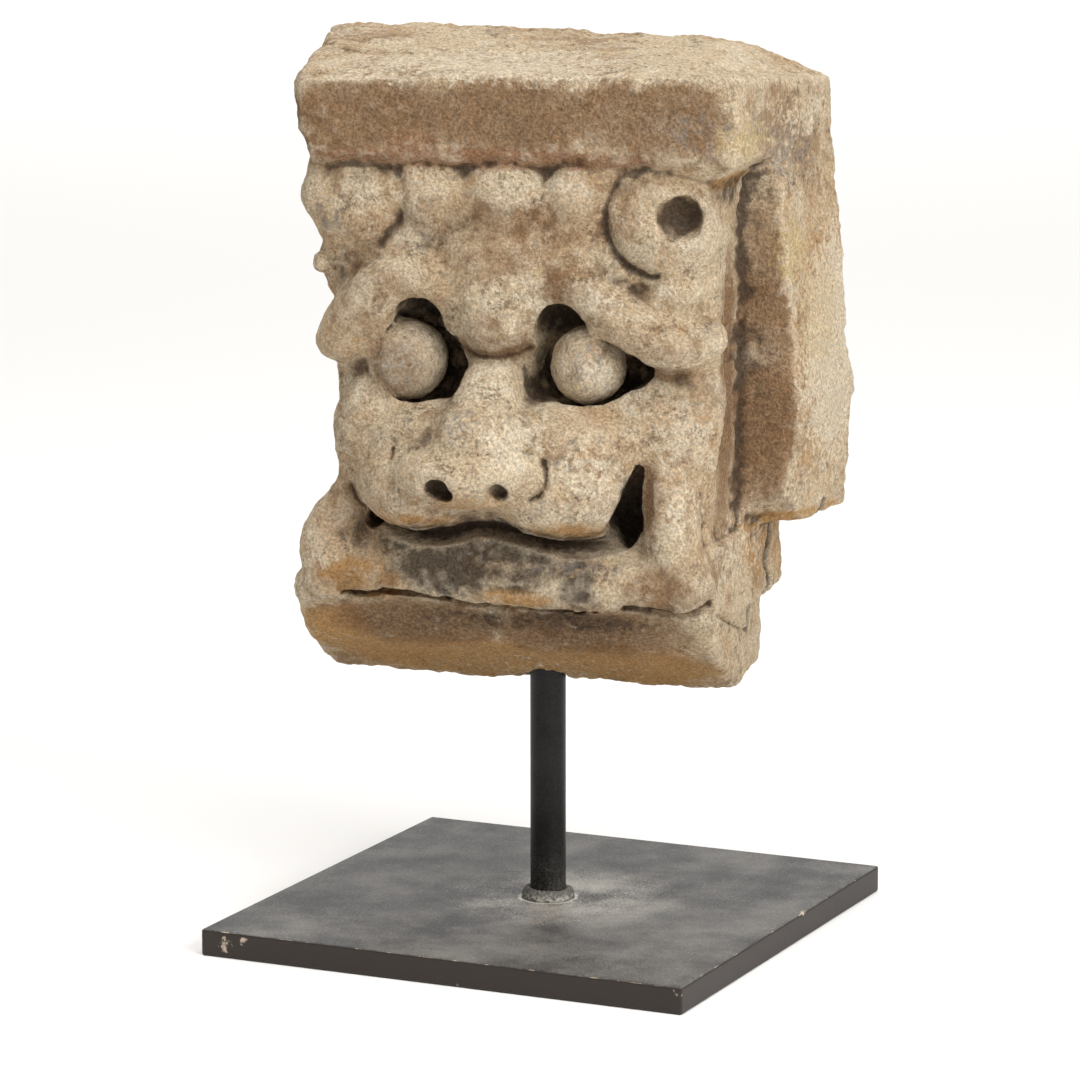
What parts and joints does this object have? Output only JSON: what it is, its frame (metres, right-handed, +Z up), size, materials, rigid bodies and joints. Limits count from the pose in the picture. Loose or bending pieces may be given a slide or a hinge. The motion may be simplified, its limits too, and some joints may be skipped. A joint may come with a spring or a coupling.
{
  "type": "carved stone corbel on stand",
  "caption": "Weathered sandstone corbel carved as a beast's head under a projecting slab, held by a round black rod over a square steel plate.",
  "frame": {"origin": "centre of the plate's underside", "axes": "+Z up, X and Y along the plate's edges, the carved face looks towards -Y, turned 10 degrees about Z"},
  "size_m": [0.2424, 0.23, 0.3983],
  "materials": {
    "stone": "weathered sandstone, sandy grain, soot in the hollows and ochre on fresh breaks",
    "black_paint": "satin black paint, dusty and lightly chipped",
    "dusty_weld": "black paint over a weld, its rim pale with dust"
  },
  "bodies": {
    "root": {"stone_corbel": "stone", "rod": "black_paint", "base_plate": "black_paint", "weld_bead": "dusty_weld"}
  },
  "joints": []
}
